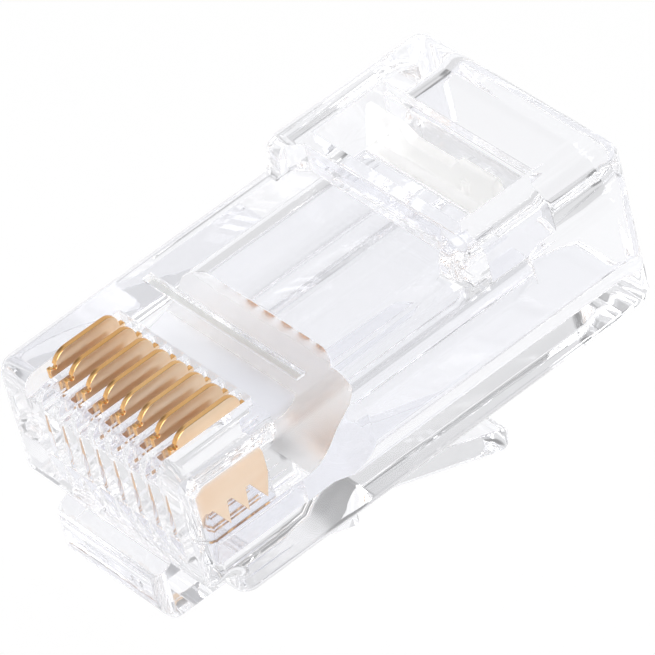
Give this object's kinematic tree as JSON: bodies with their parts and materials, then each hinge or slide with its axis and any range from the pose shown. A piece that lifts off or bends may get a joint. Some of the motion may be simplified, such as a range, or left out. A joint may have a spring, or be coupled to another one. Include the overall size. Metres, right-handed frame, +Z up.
{
  "type": "modular plug",
  "caption": "Clear modular plug with spring latch, cable clamp bar and a row of gold contacts in a comb, before crimping.",
  "frame": {"origin": "bottom centre of the plug's box as it lies on a table, contact side up, nose down on its latch block and latch tip", "axes": "+Z up from the table; +Y across the plug to the side that is on the left when looking from the front face to the cable end with the contacts up; +X towards the cable end; the plug's own length axis rises from +X towards +Z by the resting angle of 16.10 degrees"},
  "size_m": [0.0226, 0.0116, 0.0148],
  "materials": {
    "clear_housing": "clear moulded polycarbonate, polished, with frosted patches inside",
    "clear_latch": "clear moulded polycarbonate, polished",
    "clear_clamp_bar": "clear moulded polycarbonate, lightly frosted",
    "gold_contact": "gold-plated punched copper alloy"
  },
  "bodies": {
    "housing": {"housing": "clear_housing"},
    "latch_arm": {"latch_arm": "clear_latch"},
    "clamp_bar": {"clamp_bar": "clear_clamp_bar"},
    "contact_1": {"contact_1": "gold_contact"},
    "contact_2": {"contact_2": "gold_contact"},
    "contact_3": {"contact_3": "gold_contact"},
    "contact_4": {"contact_4": "gold_contact"},
    "contact_5": {"contact_5": "gold_contact"},
    "contact_6": {"contact_6": "gold_contact"},
    "contact_7": {"contact_7": "gold_contact"},
    "contact_8": {"contact_8": "gold_contact"}
  },
  "joints": [
    {"name": "latch_press", "type": "hinge", "parent": "housing", "child": "latch_arm", "pos_m": [-0.00649, 0, 0.00126], "axis": [0, -1, 0], "range_deg": [0, 16], "stiffness_Nm_per_rad": 0.1},
    {"name": "clamp_bar_swing", "type": "hinge", "parent": "housing", "child": "clamp_bar", "pos_m": [0.00434, 0, 0.01205], "axis": [0, 1, 0], "range_deg": [0, 30]},
    {"name": "contact_1_crimp", "type": "slide", "parent": "housing", "child": "contact_1", "axis": [0.2773, 0, -0.9608], "range_m": [0, 0.00115]},
    {"name": "contact_2_crimp", "type": "slide", "parent": "housing", "child": "contact_2", "axis": [0.2773, 0, -0.9608], "range_m": [0, 0.00115]},
    {"name": "contact_3_crimp", "type": "slide", "parent": "housing", "child": "contact_3", "axis": [0.2773, 0, -0.9608], "range_m": [0, 0.00115]},
    {"name": "contact_4_crimp", "type": "slide", "parent": "housing", "child": "contact_4", "axis": [0.2773, 0, -0.9608], "range_m": [0, 0.00115]},
    {"name": "contact_5_crimp", "type": "slide", "parent": "housing", "child": "contact_5", "axis": [0.2773, 0, -0.9608], "range_m": [0, 0.00115]},
    {"name": "contact_6_crimp", "type": "slide", "parent": "housing", "child": "contact_6", "axis": [0.2773, 0, -0.9608], "range_m": [0, 0.00115]},
    {"name": "contact_7_crimp", "type": "slide", "parent": "housing", "child": "contact_7", "axis": [0.2773, 0, -0.9608], "range_m": [0, 0.00115]},
    {"name": "contact_8_crimp", "type": "slide", "parent": "housing", "child": "contact_8", "axis": [0.2773, 0, -0.9608], "range_m": [0, 0.00115]}
  ]
}
